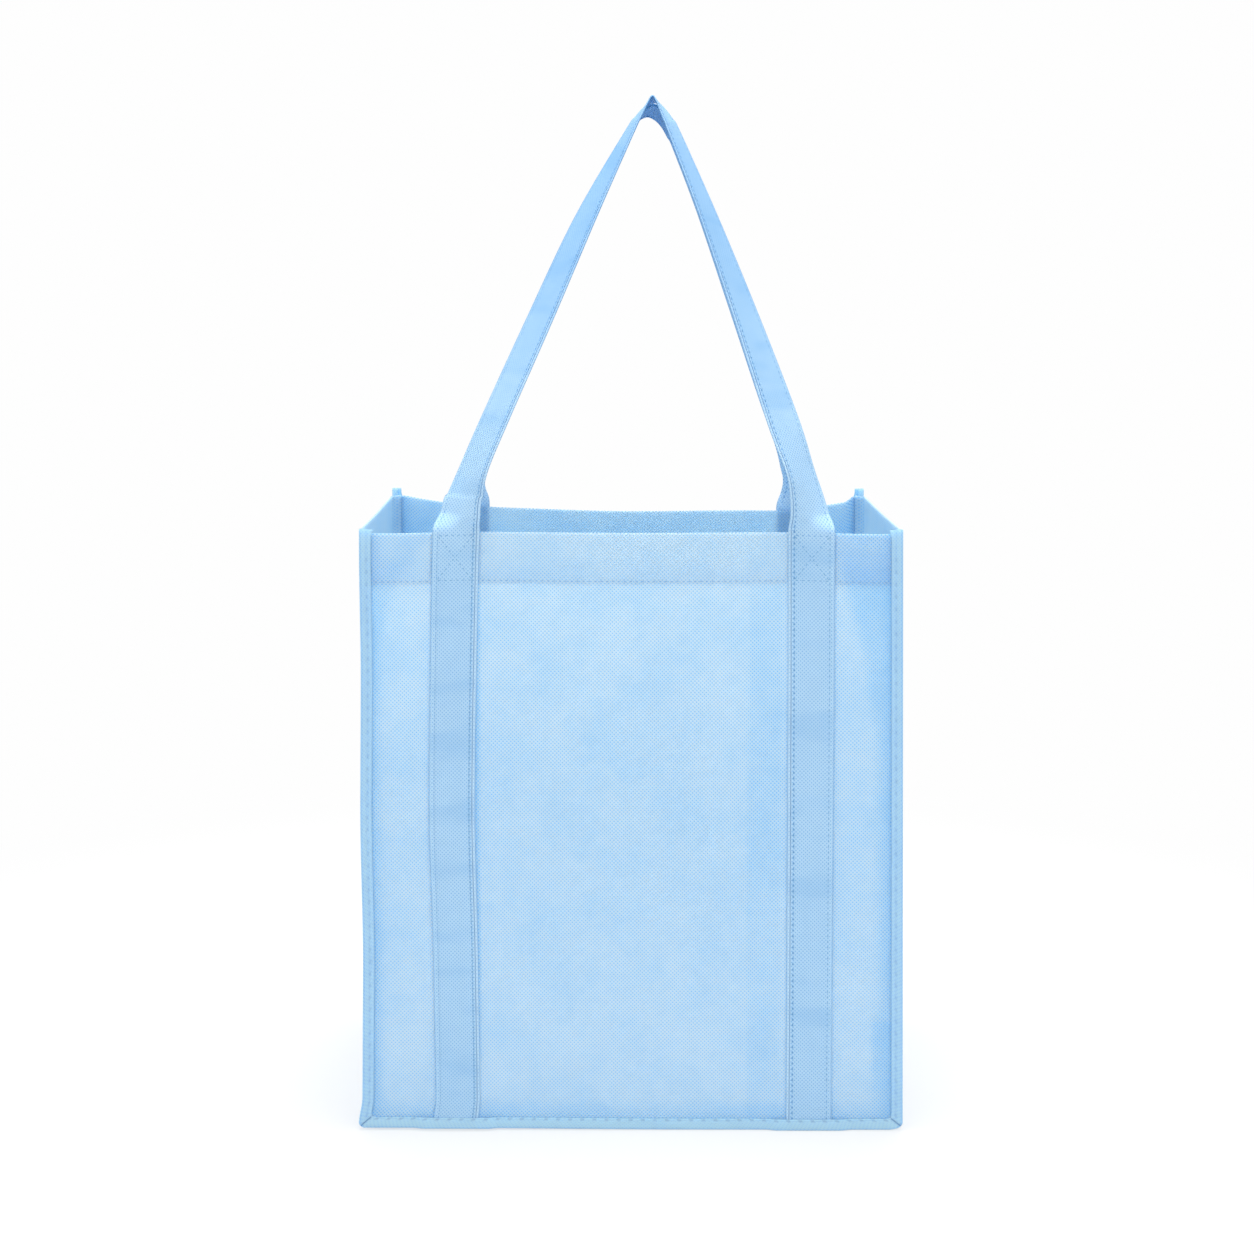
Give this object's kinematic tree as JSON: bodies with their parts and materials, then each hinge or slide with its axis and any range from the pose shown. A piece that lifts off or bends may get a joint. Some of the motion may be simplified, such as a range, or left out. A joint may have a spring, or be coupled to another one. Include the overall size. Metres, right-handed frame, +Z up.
{
  "type": "non-woven grocery tote bag",
  "caption": "Open-topped sewn cloth tote with box gussets, taped side and bottom seams, and a strap handle raised over the mouth from each large face.",
  "frame": {"origin": "on the surface that the tote stands on, under the middle of its base", "axes": "+X across the front from left to right as seen from the front, +Y from the front face to the back face, +Z up"},
  "size_m": [0.317, 0.208, 0.5998],
  "materials": {
    "cloth": "matte non-woven polypropylene with a fine diagonal emboss, light blue, a little see-through",
    "binding_tape": "matte folded non-woven tape, light blue",
    "strap": "matte folded non-woven strap of several layers, light blue",
    "thread": "polyester sewing thread, light blue"
  },
  "bodies": {
    "root": {"front_panel": "cloth", "back_panel": "cloth", "gusset": "cloth", "front_binding": "binding_tape", "back_binding": "binding_tape", "front_strap": "strap", "back_strap": "strap"}
  },
  "joints": []
}
